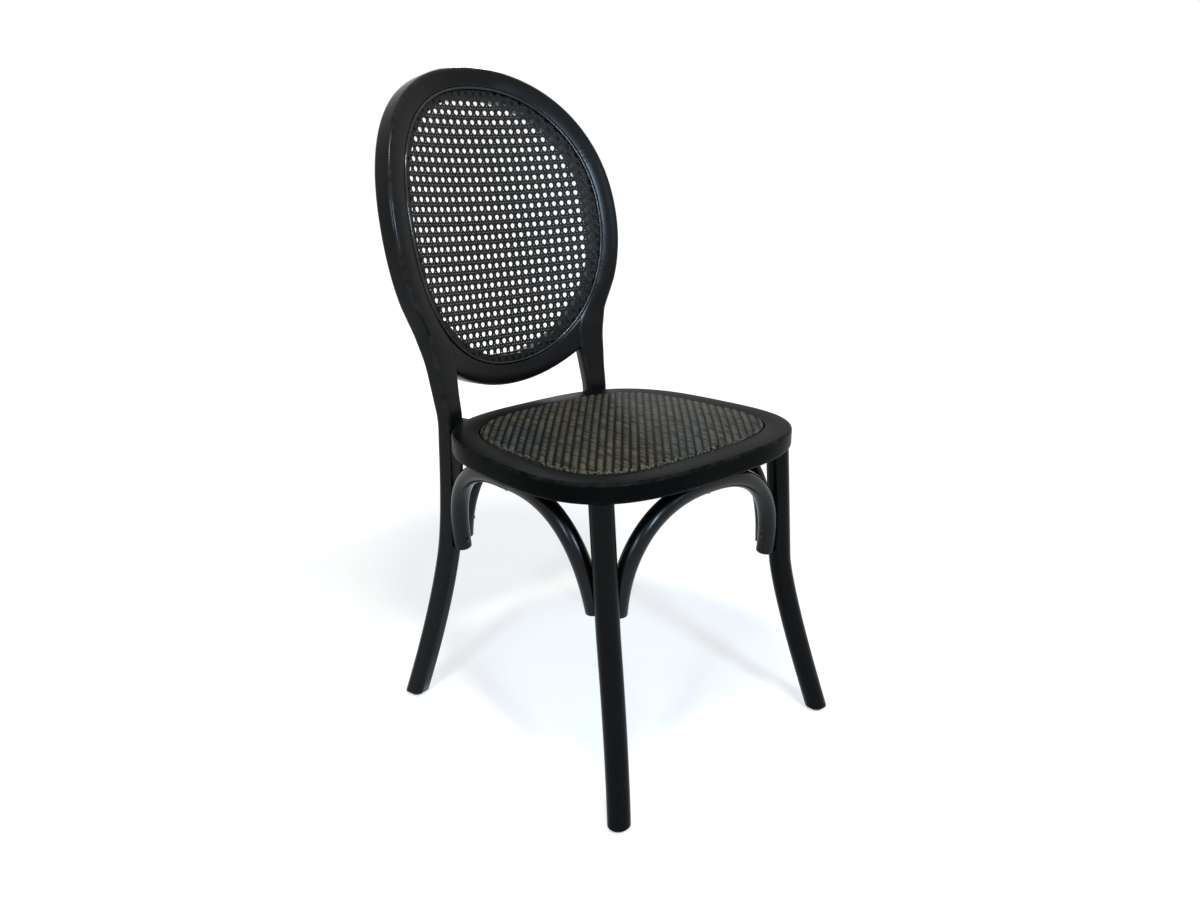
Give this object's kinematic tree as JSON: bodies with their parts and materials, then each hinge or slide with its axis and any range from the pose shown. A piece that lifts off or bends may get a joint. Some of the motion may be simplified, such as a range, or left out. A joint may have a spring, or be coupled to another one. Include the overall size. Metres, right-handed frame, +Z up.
{
  "type": "dining chair",
  "caption": "Dining chair with a bentwood hoop back, woven cane panel, arched leg braces and a woven seat pad; it stands on the floor.",
  "frame": {"origin": "on the floor, under the middle of the whole chair's box", "axes": "+Z up, -Y the way a sitter faces, +X towards the sitter's left"},
  "size_m": [0.4789, 0.6168, 0.9822],
  "materials": {
    "black_lacquer": "satin lacquer",
    "black_cane": "stained, matte",
    "woven_rattan": "woven, matte",
    "plywood": "raw",
    "beech": "raw",
    "black_steel": "black oxide",
    "black_plastic": "matte"
  },
  "bodies": {
    "root": {"back_hoop": "black_lacquer", "back_lower_rail": "black_lacquer", "cane_panel": "black_cane", "cane_spline": "black_lacquer", "seat_frame": "black_lacquer", "seat_board": "plywood", "seat_pad": "woven_rattan", "front_leg_left": "black_lacquer", "front_leg_right": "black_lacquer", "arch_brace_front": "black_lacquer", "arch_brace_rear": "black_lacquer", "arch_brace_left": "black_lacquer", "arch_brace_right": "black_lacquer", "arch_brace_front_leg_screw_1": "black_steel", "arch_brace_front_leg_screw_2": "black_steel", "arch_brace_front_seat_screw": "black_steel", "arch_brace_rear_leg_screw_1": "black_steel", "arch_brace_rear_leg_screw_2": "black_steel", "arch_brace_rear_seat_screw": "black_steel", "arch_brace_left_leg_screw_1": "black_steel", "arch_brace_left_leg_screw_2": "black_steel", "arch_brace_left_seat_screw": "black_steel", "arch_brace_right_leg_screw_1": "black_steel", "arch_brace_right_leg_screw_2": "black_steel", "arch_brace_right_seat_screw": "black_steel", "seat_board_screw_1": "black_steel", "seat_board_screw_2": "black_steel", "seat_board_screw_3": "black_steel", "seat_board_screw_4": "black_steel", "post_bolt_left": "black_steel", "post_bolt_right": "black_steel", "rail_dowel_left_upper": "beech", "rail_dowel_left_lower": "beech", "rail_dowel_right_upper": "beech", "rail_dowel_right_lower": "beech", "foot_glide_front_left": "black_plastic", "foot_glide_front_right": "black_plastic", "foot_glide_rear_left": "black_plastic", "foot_glide_rear_right": "black_plastic"}
  },
  "joints": []
}
